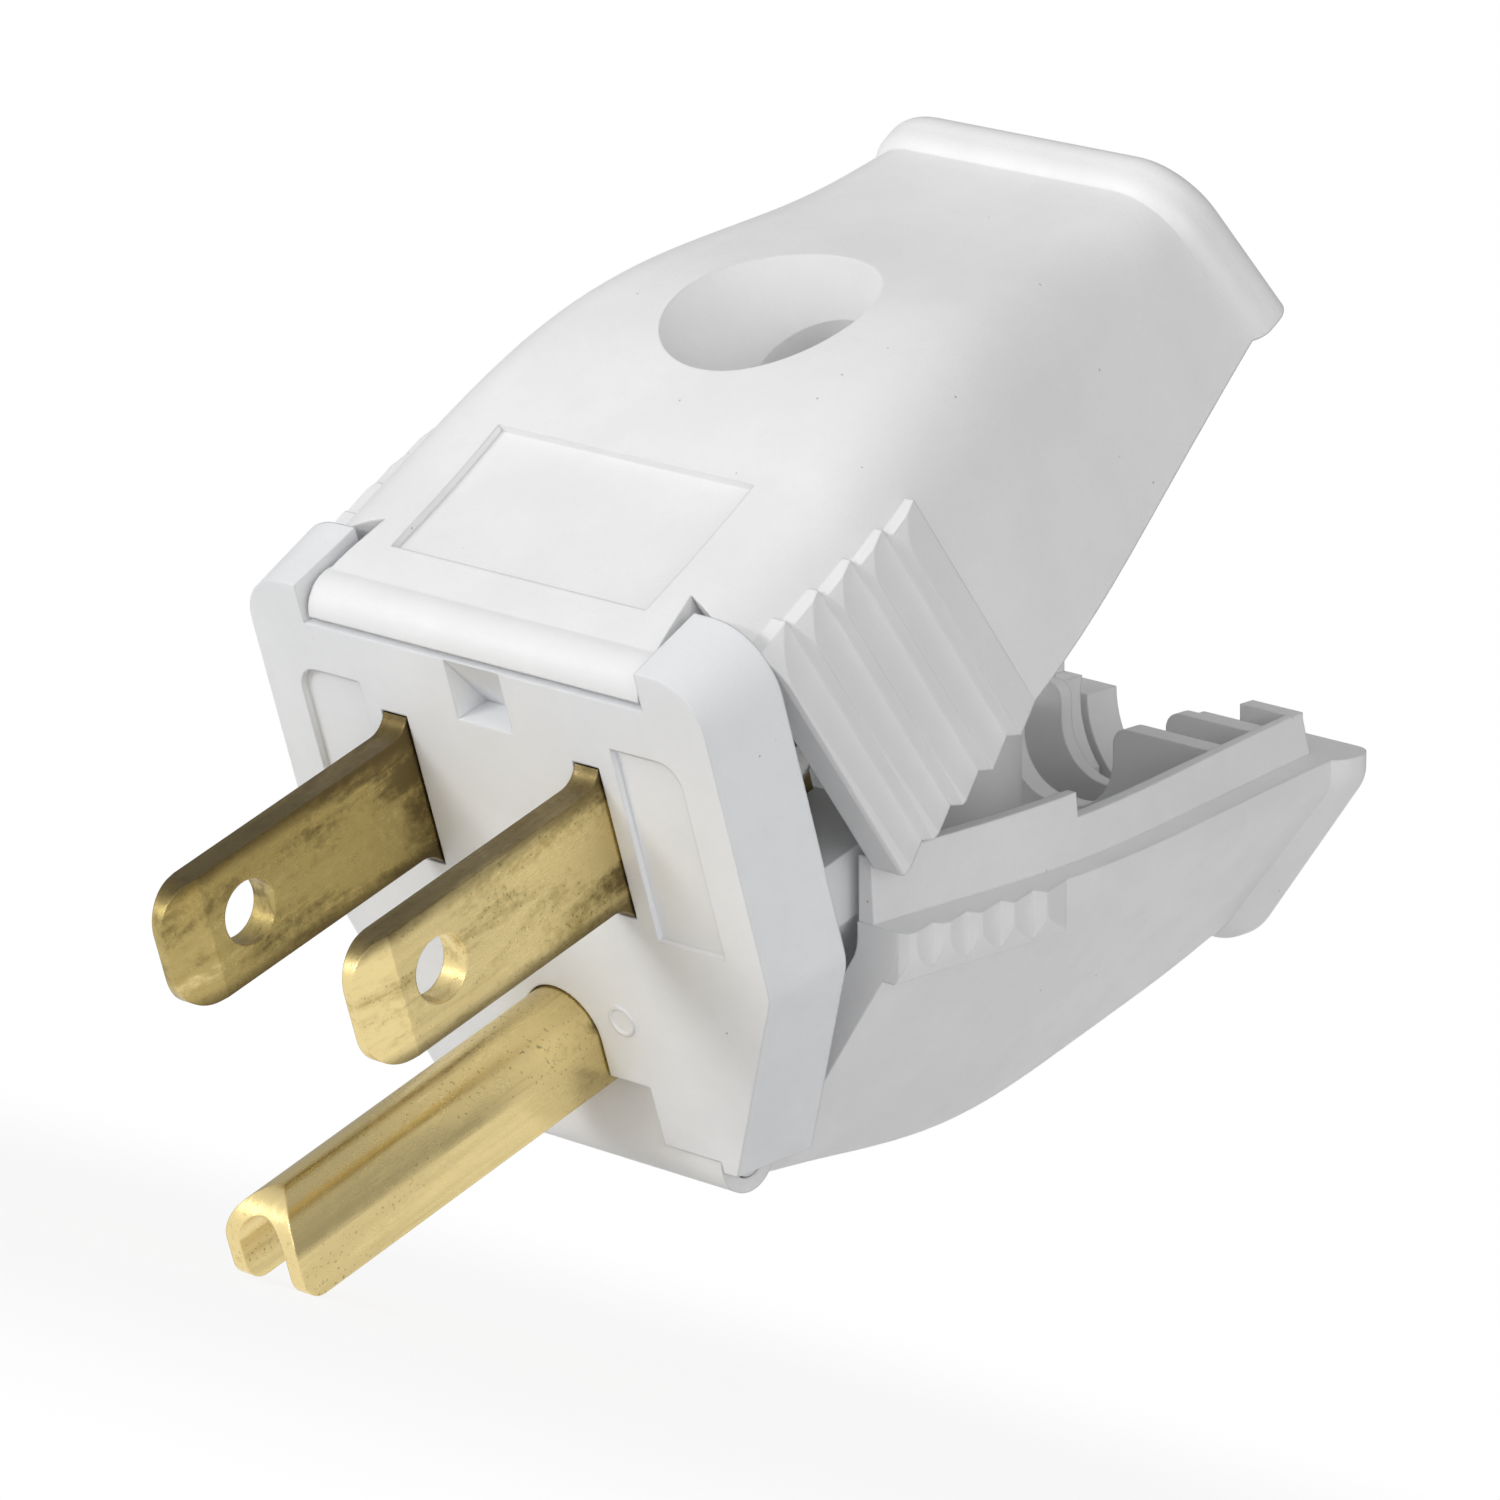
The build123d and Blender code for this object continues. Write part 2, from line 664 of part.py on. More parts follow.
# Rolled lip that turns on the lower hinge bar, open above for the web
with BuildPart() as lower_lip:
    with BuildSketch(Plane.YZ):
        with Locations((hinge_setback, lower_hinge_height)):
            Circle(lip_radius)
            Polygon(
                (0, 0),
                (-mouth_reach, mouth_reach * tan(radians(lower_lip_front))),
                (0, 2 * mouth_reach),
                (mouth_reach * tan(radians(lip_rear)), mouth_reach),
                align=None,
                mode=Mode.SUBTRACT,
            )
    extrude(amount=lower_lip_half_width, both=True)

# Rounded flange at the tail of the lower cover
with BuildPart() as lower_flange:
    tail_section = (1.0,) + lower_sections[-1][1:]
    extrude(lower_outline(tail_section, -flange_height, -flange_height, -seam_gap), amount=flange_length)
    rims = lower_flange.edges().filter_by(lambda e: abs(e.center().Z - parting + seam_gap) > 0.01)
    fillet(rims.group_by(Axis.Y)[0] + rims.group_by(Axis.Y)[-1], flange_roundness)

# Lower cover, closed
with BuildPart() as lower_cover:
    add(lower_form.part)
    add(lower_ribs.part)
    add(lower_flange.part)
    add(tongue.part)
    add(lower_hollow.part, mode=Mode.SUBTRACT)
    add(cradles.part)
    add(tail_walls.part)
    add(lower_boss.part)
    with BuildSketch(behind_face(0)):
        with Locations((0, lower_hinge_height - hinge_bar_radius / 2)):
            Rectangle(4 * face_half_width, 2 * face_half_width, align=(Align.CENTER, Align.MIN))
        with Locations((-lower_lip_half_width, 0)):
            Rectangle(face_half_width, 2 * body_length, align=(Align.MAX, Align.CENTER))
        with Locations((lower_lip_half_width, 0)):
            Rectangle(face_half_width, 2 * body_length, align=(Align.MIN, Align.CENTER))
    extrude(amount=-cover_front, mode=Mode.SUBTRACT)
    add(lower_lip.part)
    with BuildSketch(Plane.YZ):
        with Locations((hinge_setback - lip_radius, lower_hinge_height)):
            Rectangle(lip_wall, tab_height, align=(Align.MIN, Align.MIN))
    extrude(amount=tab_half_width, both=True)
    with BuildSketch(Plane.YZ):
        with Locations((hinge_setback, lower_hinge_height)):
            Circle(hinge_bar_radius + hinge_clearance)
    extrude(amount=lower_lip_half_width, both=True, mode=Mode.SUBTRACT)
    with BuildSketch(across(boss_joint)):
        with Locations((0, screw_setback)):
            Circle(insert_nut_radius)
    extrude(amount=-boss_gap - insert_nut_length, mode=Mode.SUBTRACT)
    with BuildSketch(across(boss_joint)):
        with Locations((0, screw_setback)):
            Circle(screw_radius + screw_clearance)
    extrude(amount=-screw_length - screw_head_height, mode=Mode.SUBTRACT)
    with BuildSketch(behind_face(body_length)):
        with Locations((0, parting)):
            Circle(cord_radius)
    extrude(amount=rear_wall + flange_length, mode=Mode.SUBTRACT)

# Threaded insert in the lower boss
with BuildPart() as threaded_insert:
    with BuildSketch(across(boss_joint - boss_gap)):
        with Locations((0, screw_setback)):
            Circle(insert_nut_radius)
            Circle(screw_radius + hinge_clearance, mode=Mode.SUBTRACT)
    extrude(amount=-insert_nut_length)

# Closing screw with a slotted head
with BuildPart() as closing_screw:
    with BuildSketch(across(screw_seat)):
        with Locations((0, screw_setback)):
            Circle(screw_head_radius)
    extrude(amount=screw_head_height)
    fillet(closing_screw.edges().group_by(Axis.Z)[-1], screw_head_height / 3)
    with BuildSketch(across(screw_seat)):
        with Locations((0, screw_setback)):
            Circle(screw_radius)
    extrude(amount=-screw_length)
    chamfer(closing_screw.edges().group_by(Axis.Z)[0], screw_radius / 3)
    with BuildSketch(across(screw_seat + screw_head_height)):
        with Locations((0, screw_setback)):
            Rectangle(2 * screw_head_radius, screw_slot_width)
    extrude(amount=-screw_slot_depth, mode=Mode.SUBTRACT)

# Terminal screw, drawn along Z with the underside of its head at the origin
with BuildPart() as terminal_screw:
    with BuildSketch(across(0)):
        Circle(terminal_head_radius)
    extrude(amount=terminal_head_height)
    fillet(terminal_screw.edges().group_by(Axis.Z)[-1], terminal_head_height / 3)
    with BuildSketch(across(0)):
        Circle(terminal_shank_radius)
    extrude(amount=-terminal_shank_length)
    chamfer(terminal_screw.edges().group_by(Axis.Z)[0], terminal_shank_radius / 3)
    with BuildSketch(across(terminal_head_height)):
        Rectangle(2 * terminal_head_radius, terminal_slot_width)
    extrude(amount=-terminal_slot_depth, mode=Mode.SUBTRACT)

blade_outside = blade_pitch / 2 + blade_sheet / 2
with BuildPart() as neutral_terminal_screw:
    seat = Plane((blade_outside, terminal_screw_setback, 0), x_dir=(0, 1, 0), z_dir=(1, 0, 0))
    add(seat.location * terminal_screw.part)

with BuildPart() as hot_terminal_screw:
    seat = Plane((-blade_outside, terminal_screw_setback, 0), x_dir=(0, 1, 0), z_dir=(-1, 0, 0))
    add(seat.location * terminal_screw.part)

with BuildPart() as ground_terminal_screw:
    seat = Plane((0, terminal_screw_setback, pin_top - pin_sheet), x_dir=(0, 1, 0), z_dir=(0, 0, -1))
    add(seat.location * terminal_screw.part)

# Swing the covers open, with what each of them carries
upper_hinge = Axis((0, hinge_setback, upper_hinge_height), (1, 0, 0))
lower_hinge = Axis((0, hinge_setback, lower_hinge_height), (1, 0, 0))
pieces = {
    "face_insert": face_insert.part,
    "hot_blade": hot_blade.part,
    "neutral_blade": neutral_blade.part,
    "ground_pin": ground_pin.part,
    "hot_terminal_screw": hot_terminal_screw.part,
    "neutral_terminal_screw": neutral_terminal_screw.part,
    "ground_terminal_screw": ground_terminal_screw.part,
    "upper_cover": upper_cover.part.rotate(upper_hinge, upper_opening),
    "closing_screw": closing_screw.part.rotate(upper_hinge, upper_opening),
    "lower_cover": lower_cover.part.rotate(lower_hinge, -lower_opening),
    "threaded_insert": threaded_insert.part.rotate(lower_hinge, -lower_opening),
}

os.makedirs("parts", exist_ok=True)
for name, piece in pieces.items():
    piece.label = name
    export_step(piece, f"parts/{name}.step")
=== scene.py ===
import math

import bpy
from bpy.props import FloatProperty, FloatVectorProperty, PointerProperty
from mathutils import Matrix, Vector


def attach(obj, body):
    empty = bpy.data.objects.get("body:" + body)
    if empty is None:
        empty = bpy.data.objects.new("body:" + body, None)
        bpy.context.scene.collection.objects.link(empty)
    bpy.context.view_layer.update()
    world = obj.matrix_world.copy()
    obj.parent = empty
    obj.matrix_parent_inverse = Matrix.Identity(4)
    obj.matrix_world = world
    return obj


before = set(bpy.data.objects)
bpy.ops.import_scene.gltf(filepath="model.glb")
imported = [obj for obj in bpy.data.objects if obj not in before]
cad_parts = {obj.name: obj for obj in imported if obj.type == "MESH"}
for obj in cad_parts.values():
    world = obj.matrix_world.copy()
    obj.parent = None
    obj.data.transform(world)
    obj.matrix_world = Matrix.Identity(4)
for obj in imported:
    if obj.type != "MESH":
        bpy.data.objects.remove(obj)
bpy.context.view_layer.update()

bl_info = {
    "name": "Grounding Plug Finish",
    "version": (1, 0, 0),
    "blender": (4, 5, 0),
    "location": "3D View > Sidebar > Plug",
    "description": "Finishes the open three-prong plug: moulded shell, brass prongs, screws and stage",
    "category": "Object",
}

MM = 0.001
FLOOR_CLEARANCE = 0.02 * MM
BLADE_HALF_HEIGHT = 3.175 * MM
SENSOR_WIDTH = 36

# Waves per metre of the patterns on the brass, close across a prong and long along it
CLOUD_WAVES = (330, 80, 330)
STREAK_WAVES = (2400, 90, 2400)
WIDE_WAVES = (700, 45, 700)
STREAK_TURN = (math.radians(4), 0, 0)

SPECK_COLOUR = (0.20, 0.17, 0.13)


class PlugShellSizes(bpy.types.PropertyGroup):
    """Edges of the mouldings and the ejector mark on the face."""

    edge_round: FloatProperty(
        name="Edge rounding", description="Radius of the rounding on moulded edges", default=0.16 * MM,
        unit="LENGTH", precision=6)
    mark_radius: FloatProperty(
        name="Ejector mark", description="Radius of the round ejector mark on the face", default=0.8 * MM,
        unit="LENGTH", precision=6)
    mark_height: FloatProperty(
        name="Mark height", description="How far the ejector mark stands out of the face", default=0.09 * MM,
        unit="LENGTH", precision=6)
    mark_place: FloatVectorProperty(
        name="Mark place", description="Place of the ejector mark across and up the face", size=2,
        default=(4.29 * MM, -10.31 * MM), unit="LENGTH", precision=6)


class PlugMetalSizes(bpy.types.PropertyGroup):
    """Edges of the prongs and screws."""

    edge_round: FloatProperty(
        name="Edge rounding", description="Width of the rounding on stamped edges", default=0.12 * MM,
        unit="LENGTH", precision=6)


class PlugColours(bpy.types.PropertyGroup):
    """Colours of the finishes."""

    cover: FloatVectorProperty(
        name="Covers", description="Moulded plastic of the covers", subtype="COLOR",
        default=(0.84, 0.84, 0.845), min=0, max=1)
    insert: FloatVectorProperty(
        name="Face insert", description="Moulded plastic of the face insert", subtype="COLOR",
        default=(0.83, 0.84, 0.858), min=0, max=1)
    bright_brass: FloatVectorProperty(
        name="Bright brass", description="Clean rolled brass", subtype="COLOR", default=(0.88, 0.71, 0.34),
        min=0, max=1)
    dull_brass: FloatVectorProperty(
        name="Dull brass", description="Handled brass", subtype="COLOR", default=(0.50, 0.39, 0.15),
        min=0, max=1)
    # Also the colour of the darkening towards the face and along the long edges of the blades.
    patina: FloatVectorProperty(
        name="Patina", description="Brown patina and grime on the brass", subtype="COLOR",
        default=(0.13, 0.095, 0.04), min=0, max=1)
    steel: FloatVectorProperty(
        name="Plated steel", description="Zinc plate on the screws", subtype="COLOR",
        default=(0.62, 0.62, 0.60), min=0, max=1)


class PlugStage(bpy.types.PropertyGroup):
    """Camera, lamps and floor."""

    camera_place: FloatVectorProperty(
        name="Camera place", description="Where the camera stands", subtype="TRANSLATION",
        default=(0.287103, -0.230157, 0.194128), precision=6)
    camera_turn: FloatVectorProperty(
        name="Camera turn", description="How the camera is turned", subtype="EULER",
        default=tuple(math.radians(a) for a in (61.506, 12.160, 42.955)))
    lens: FloatProperty(name="Lens", description="Focal length in millimetres", default=215.18, min=1)
    sky: FloatProperty(
        name="Sky", description="Strength of the soft light from the front", default=0.96, min=0)
    shade: FloatProperty(
        name="Shade", description="Strength of the soft light from behind", default=0.30, min=0)
    sky_from: FloatVectorProperty(
        name="Sky side", description="Side from which the soft light is strongest", subtype="DIRECTION",
        default=(-0.05, -0.95, 0.15))
    aim: FloatVectorProperty(
        name="Aim", description="Point that both lamps face", subtype="TRANSLATION", default=(0, 0.012, 0),
        precision=6)
    key: FloatProperty(name="Key lamp", description="Power of the key lamp in watts", default=7.5, min=0)
    key_place: FloatVectorProperty(
        name="Key place", description="Where the key lamp hangs", subtype="TRANSLATION",
        default=(-0.30, -0.62, 0.40))
    key_size: FloatProperty(
        name="Key size", description="Side of the key lamp", default=0.40, unit="LENGTH")
    fill: FloatProperty(name="Fill lamp", description="Power of the fill lamp in watts", default=2.0, min=0)
    fill_place: FloatVectorProperty(
        name="Fill place", description="Where the fill lamp hangs", subtype="TRANSLATION",
        default=(0.70, -0.22, 0.22))
    fill_size: FloatProperty(
        name="Fill size", description="Side of the fill lamp", default=0.5, unit="LENGTH")
    floor_side: FloatProperty(
        name="Floor", description="Side of the square floor", default=2.4, unit="LENGTH")
    white_near: FloatProperty(
        name="White share", description="Share of plain white in the floor under the plug", default=0.86,
        min=0, max=1)
    shadow_full: FloatProperty(
        name="Shadow near", description="Distance up to which the floor shows the full shadow", default=0.03,
        unit="LENGTH")
    shadow_end: FloatProperty(
        name="Shadow end", description="Distance past which the floor is plain white", default=0.13,
        unit="LENGTH")


def dress_node(node, finish):
    """Gives a CAD node that stays in view a finish of its own."""
    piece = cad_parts[node]
    if not piece.material_slots:
        piece.data.materials.append(finish.material)
    for slot in piece.material_slots:
        slot.material = finish.material


# Materials


def set_range(node, low, high, out_low, out_high):
    """Fills in the four limits of a Map Range node."""
    limits = {"From Min": low, "From Max": high, "To Min": out_low, "To Max": out_high}
    for socket, limit in limits.items():
        node.inputs[socket].default_value = limit


class Finish:
    """A material under construction, with short calls for the nodes it needs."""

    def __init__(self, name):
        self.material = bpy.data.materials.new(name)
        self.material.use_nodes = True
        self.tree = self.material.node_tree
        self.shader = self.tree.nodes["Principled BSDF"]
        self.place = self.tree.nodes.new("ShaderNodeTexCoord").outputs["Object"]

    def set(self, **values):
        """Sets constants on the shader's own sockets."""
        for socket, value in values.items():
            self.shader.inputs[socket.replace("_", " ")].default_value = value

    def node(self, kind, **settings):
        """Adds a node with its settings."""
        made = self.tree.nodes.new(kind)
        for key, value in settings.items():
            setattr(made, key, value)
        return made

    def join(self, source, target):
        """Links an output to an input."""
        self.tree.links.new(source, target)

    def stretched(self, scale, turn=(0, 0, 0), shift=(0, 0, 0)):
        """Object place scaled, turned and shifted, for patterns that run along a piece."""
        mapping = self.node("ShaderNodeMapping")
        mapping.inputs["Scale"].default_value = scale
        mapping.inputs["Rotation"].default_value = turn
        mapping.inputs["Location"].default_value = shift
        self.join(self.place, mapping.inputs["Vector"])
        return mapping.outputs["Vector"]

    def noise(self, size=None, detail=3, rough=0.55, vector=None, distortion=0.0):
        """Cloudy noise, with blobs of a size in millimetres or on a stretched place."""
        made = self.node("ShaderNodeTexNoise")
        made.inputs["Scale"].default_value = 1 / (size * MM) if vector is None else 1
        made.inputs["Detail"].default_value = detail
        made.inputs["Roughness"].default_value = rough
        made.inputs["Distortion"].default_value = distortion
        self.join(self.place if vector is None else vector, made.inputs["Vector"])
        return made.outputs["Fac"]

    def band(self, value, low, high, out_low=0.0, out_high=1.0):
        """Smooth step of a value from low to high."""
        made = self.node("ShaderNodeMapRange", interpolation_type="SMOOTHSTEP")
        set_range(made, low, high, out_low, out_high)
        self.join(value, made.inputs["Value"])
        return made.outputs["Result"]

    def sums(self, operation, first, second):
        """Sum, product or size of values, kept from nothing to one unless a size is asked for."""
        made = self.node("ShaderNodeMath", operation=operation)
        for socket, value in zip(made.inputs, (first, second)):
            if isinstance(value, (int, float)):
                socket.default_value = value
            else:
                self.join(value, socket)
        made.use_clamp = operation != "ABSOLUTE"
        return made.outputs["Value"]

    def blend(self, share, first, second):
        """Colour that goes from the first to the second with the share."""
        made = self.node("ShaderNodeMix", data_type="RGBA")
        self.join(share, made.inputs["Factor"])
        colour_a = [s for s in made.inputs if s.name == "A" and s.type == "RGBA"][0]
        colour_b = [s for s in made.inputs if s.name == "B" and s.type == "RGBA"][0]
        for socket, value in ((colour_a, first), (colour_b, second)):
            if isinstance(value, (tuple, list)):
                socket.default_value = (*value, 1)
            else:
                self.join(value, socket)
        return [s for s in made.outputs if s.type == "RGBA"][0]

    def bump(self, height, depth, strength=1.0, under=None):
        """Relief of a depth in millimetres, laid over other normals."""
        made = self.node("ShaderNodeBump")
        made.inputs["Strength"].default_value = strength
        made.inputs["Distance"].default_value = depth * MM
        self.join(height, made.inputs["Height"])
        if under is not None:
            self.join(under, made.inputs["Normal"])
        return made.outputs["Normal"]

    def soft_corners(self, radius):
        """Normals that run smoothly over the edges of a moulding."""
        made = self.node("ShaderNodeBevel", samples=6)
        made.inputs["Radius"].default_value = radius
        return made.outputs["Normal"]

    def wear(self, piece):
        """Puts the finish on a newly made piece."""
        piece.data.materials.clear()
        piece.data.materials.append(self.material)


def darker(colour, share):
    """A colour made darker by a share."""
    return tuple(c * share for c in colour)


def moulded_plastic(name, colour, edge):
    """Satin moulded plastic with a faint sparked grain, flow clouds and a few dark specks."""
    finish = Finish(name)
    clouds = finish.noise(5.5, detail=3, rough=0.55)
    mottle = finish.noise(1.3, detail=4, rough=0.65)
    grain = finish.noise(0.17, detail=2)
    speck_spacing = 1.7 * MM
    speck_field = finish.node("ShaderNodeTexVoronoi")
    speck_field.inputs["Scale"].default_value = 1 / speck_spacing
    finish.join(finish.place, speck_field.inputs["Vector"])
    speck = finish.band(speck_field.outputs["Distance"], 0.018, 0.05, 1.0, 0.0)
    rare = finish.band(finish.noise(3.3, detail=1), 0.55, 0.60)
    speck = finish.sums("MULTIPLY", speck, rare)
    dusty = darker(colour, 0.93)
    base = finish.blend(finish.band(clouds, 0.35, 0.65), darker(colour, 0.965), colour)
    base = finish.blend(finish.sums("MULTIPLY", finish.band(mottle, 0.52, 0.78), 0.35), base, dusty)
    base = finish.blend(finish.sums("MULTIPLY", finish.band(grain, 0.50, 0.75), 0.30), base, dusty)
    base = finish.blend(finish.sums("MULTIPLY", speck, 0.65), base, SPECK_COLOUR)
    finish.join(base, finish.shader.inputs["Base Color"])
    finish.join(finish.band(mottle, 0.2, 0.8, 0.36, 0.50), finish.shader.inputs["Roughness"])
    finish.set(Specular_IOR_Level=0.45)
    corners = finish.soft_corners(edge)
    waves = finish.bump(finish.noise(2.4, detail=2), 0.035, 0.5, corners)
    finish.join(finish.bump(grain, 0.014, 0.9, waves), finish.shader.inputs["Normal"])
    return finish


def aged_brass(name, colours, tarnish, face_dark_reach, shift, edge, half_height=0.0):
    """Rolled brass with brown patina in clouds, pinprick stains, draw scratches, and darker brass towards
    the face.

    A blade's half height darkens its long edges too, and shift moves the pattern from piece to piece.
    """
    finish = Finish(name)
    cloud_place = finish.stretched(CLOUD_WAVES, shift=(shift, shift, 0))
    clouds = finish.noise(detail=5, rough=0.62, vector=cloud_place, distortion=0.5)
    fine = finish.noise(0.5, detail=5, rough=0.7)
    pricks = finish.noise(0.2, detail=3, rough=0.6)
    streak_place = finish.stretched(STREAK_WAVES, turn=STREAK_TURN)
    streaks = finish.noise(detail=4, rough=0.65, vector=streak_place)
    wide_place = finish.stretched(WIDE_WAVES, shift=(0, shift, shift))
    wide = finish.noise(detail=3, rough=0.6, vector=wide_place)
    separate = finish.node("ShaderNodeSeparateXYZ")
    finish.join(finish.place, separate.inputs["Vector"])
    # Darker towards the face: the brass is blended to the patina colour near where the prong enters the
    # face.
    root = finish.band(separate.outputs["Y"], -face_dark_reach * MM, 0.3 * MM)
    patchy = finish.sums("ADD", clouds, finish.sums("MULTIPLY", fine, 0.30))
    dull = finish.band(patchy, 0.64 - tarnish, 0.88 - tarnish)
    stained = finish.sums("ADD", patchy, finish.sums("MULTIPLY", root, 0.16))
    stain = finish.band(stained, 0.82 - tarnish * 0.7, 1.02 - tarnish * 0.7)
    spots = finish.sums("MULTIPLY", finish.band(pricks, 0.60, 0.68), finish.band(clouds, 0.42, 0.58))
    lines = finish.sums("MULTIPLY", finish.band(streaks, 0.54, 0.72), finish.band(wide, 0.40, 0.62))
    metal = finish.blend(dull, tuple(colours.bright_brass), tuple(colours.dull_brass))
    metal = finish.blend(finish.sums("MULTIPLY", lines, 0.45), metal, tuple(colours.dull_brass))
    metal = finish.blend(finish.sums("MULTIPLY", stain, 0.80), metal, tuple(colours.patina))
    metal = finish.blend(finish.sums("MULTIPLY", spots, 0.60), metal, tuple(colours.patina))
    metal = finish.blend(finish.sums("MULTIPLY", root, 0.22), metal, tuple(colours.patina))
    # Darker band along the long top and bottom edges of a blade, blended to the patina colour.
    if half_height:
        rise = finish.sums("ABSOLUTE", separate.outputs["Z"], 0.0)
        uneven = finish.band(finish.sums("ADD", wide, clouds), 0.65, 1.15, 0.35, 0.95)
        brink = finish.sums("MULTIPLY", finish.band(rise, 0.72 * half_height, half_height), uneven)
        metal = finish.blend(brink, metal, tuple(colours.patina))
    finish.join(metal, finish.shader.inputs["Base Color"])
    finish.set(Metallic=1.0)
    rough = finish.sums("ADD", finish.band(patchy, 0.45, 1.0, 0.20, 0.46),
                        finish.band(streaks, 0.4, 0.7, 0.0, 0.10))
    finish.join(rough, finish.shader.inputs["Roughness"])
    corners = finish.soft_corners(edge)
    rolled = finish.bump(streaks, 0.005, 0.5, corners)
    waved = finish.bump(wide, 0.014, 0.3, rolled)
    pitted = finish.bump(finish.sums("ADD", spots, fine), 0.008, 0.5, waved)
    finish.join(pitted, finish.shader.inputs["Normal"])
    return finish


def plated_steel(name, colour, edge):
    """Dull zinc plate, slightly clouded."""
    finish = Finish(name)
    cloud = finish.noise(0.9, detail=4)
    fine = finish.noise(0.09, detail=2)
    finish.join(finish.blend(finish.band(cloud, 0.35, 0.7), colour, darker(colour, 0.72)),
                finish.shader.inputs["Base Color"])
    finish.set(Metallic=1.0)
    finish.join(finish.band(cloud, 0.3, 0.7, 0.24, 0.42), finish.shader.inputs["Roughness"])
    finish.join(finish.bump(fine, 0.004, 0.5, finish.soft_corners(edge)), finish.shader.inputs["Normal"])
    return finish


# Pieces


class PLUG_OT_face(bpy.types.Operator):
    """Finishes the face insert"""

    bl_idname = "plug.face"
    bl_label = "Face insert"

    def execute(self, context):
        sizes, colours = context.scene.plug_shell, context.scene.plug_colours
        plastic = moulded_plastic("insert_plastic", tuple(colours.insert), sizes.edge_round)
        dress_node("face_insert", plastic)
        self.ejector_mark(sizes, plastic)
        return {"FINISHED"}

    def ejector_mark(self, sizes, plastic):
        """Low round witness of an ejector pin on the face, with a dished middle."""
        rim_share, slope_share, dish_share = 0.18, 0.10, 0.8
        across, height = sizes.mark_place
        bpy.ops.object.select_all(action="DESELECT")
        bpy.ops.mesh.primitive_cylinder_add(
            vertices=64, radius=sizes.mark_radius, depth=2 * sizes.mark_height,
            rotation=(math.radians(90), 0, 0), location=(across, 0, height))
        mark = bpy.context.object
        mark.name = "ejector_mark"
        bpy.ops.object.transform_apply(location=True, rotation=True, scale=True)
        bpy.ops.object.mode_set(mode="EDIT")
        bpy.ops.mesh.select_mode(type="FACE")
        bpy.ops.mesh.select_all(action="DESELECT")
        bpy.ops.object.mode_set(mode="OBJECT")
        for face in mark.data.polygons:
            face.select = face.normal.y < -0.9
        bpy.ops.object.mode_set(mode="EDIT")
        bpy.ops.mesh.inset(thickness=rim_share * sizes.mark_radius)
        bpy.ops.mesh.inset(thickness=slope_share * sizes.mark_radius, depth=-dish_share * sizes.mark_height)
        bpy.ops.object.mode_set(mode="OBJECT")
        bpy.ops.object.shade_smooth_by_angle(angle=math.radians(40))
        plastic.wear(mark)
        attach(mark, "insert")


class PLUG_OT_covers(bpy.types.Operator):
    """Finishes the two hinged covers"""

    bl_idname = "plug.covers"
    bl_label = "Covers"

    def execute(self, context):
        sizes, colours = context.scene.plug_shell, context.scene.plug_colours
        for node in ("upper_cover", "lower_cover"):
            dress_node(node, moulded_plastic(node + "_plastic", tuple(colours.cover), sizes.edge_round))
        return {"FINISHED"}


class PLUG_OT_prongs(bpy.types.Operator):
    """Finishes the blades and the ground pin"""

    bl_idname = "plug.prongs"
    bl_label = "Prongs"

    def execute(self, context):
        sizes, colours = context.scene.plug_metal, context.scene.plug_colours
        looks = (
            ("hot_blade", 0.30, 4.0, 0.0, BLADE_HALF_HEIGHT),
            ("neutral_blade", 0.04, 4.5, 5.0, BLADE_HALF_HEIGHT),
            ("ground_pin", -0.10, 3.0, 9.0, 0.0),
        )
        for node, tarnish, face_dark_reach, shift, half_height in looks:
            finish = aged_brass(node + "_brass", colours, tarnish, face_dark_reach, shift, sizes.edge_round,
                                half_height)
            dress_node(node, finish)
        return {"FINISHED"}


class PLUG_OT_screws(bpy.types.Operator):
    """Finishes the screws and the threaded insert"""

    bl_idname = "plug.screws"
    bl_label = "Screws"

    def execute(self, context):
        sizes, colours = context.scene.plug_metal, context.scene.plug_colours
        steel = plated_steel("zinc_plate", tuple(colours.steel), sizes.edge_round)
        brass = aged_brass("screw_brass", colours, 0.05, 1.0, 3.0, sizes.edge_round)
        looks = (
            ("closing_screw", steel),
            ("hot_terminal_screw", brass),
            ("neutral_terminal_screw", steel),
            ("ground_terminal_screw", steel),
            ("threaded_insert", brass),
        )
        for node, finish in looks:
            dress_node(node, finish)
        return {"FINISHED"}


# Stage


def floor_under(nodes):
    """Slope and height of the plane that carries the front and the rear of the object."""
    front, rear = ([v.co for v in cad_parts[n].data.vertices] for n in nodes)
    low, high = 0.0, math.radians(40)
    for _ in range(40):
        slope = (low + high) / 2
        up = Vector((0, math.sin(slope), math.cos(slope)))
        if min(up @ p for p in front) > min(up @ p for p in rear):
            high = slope
        else:
            low = slope
    return up, min(min(up @ p for p in front), min(up @ p for p in rear))


def area_lamp(name, place, target, size, power):
    """Soft square lamp that points at a target."""
    light = bpy.data.lights.new(name, "AREA")
    light.shape = "SQUARE"
    light.size = size
    light.energy = power
    lamp = bpy.data.objects.new(name, light)
    lamp.location = place
    lamp.rotation_mode = "QUATERNION"
    lamp.rotation_quaternion = (Vector(target) - Vector(place)).to_track_quat("-Z", "Y")
    bpy.context.scene.collection.objects.link(lamp)


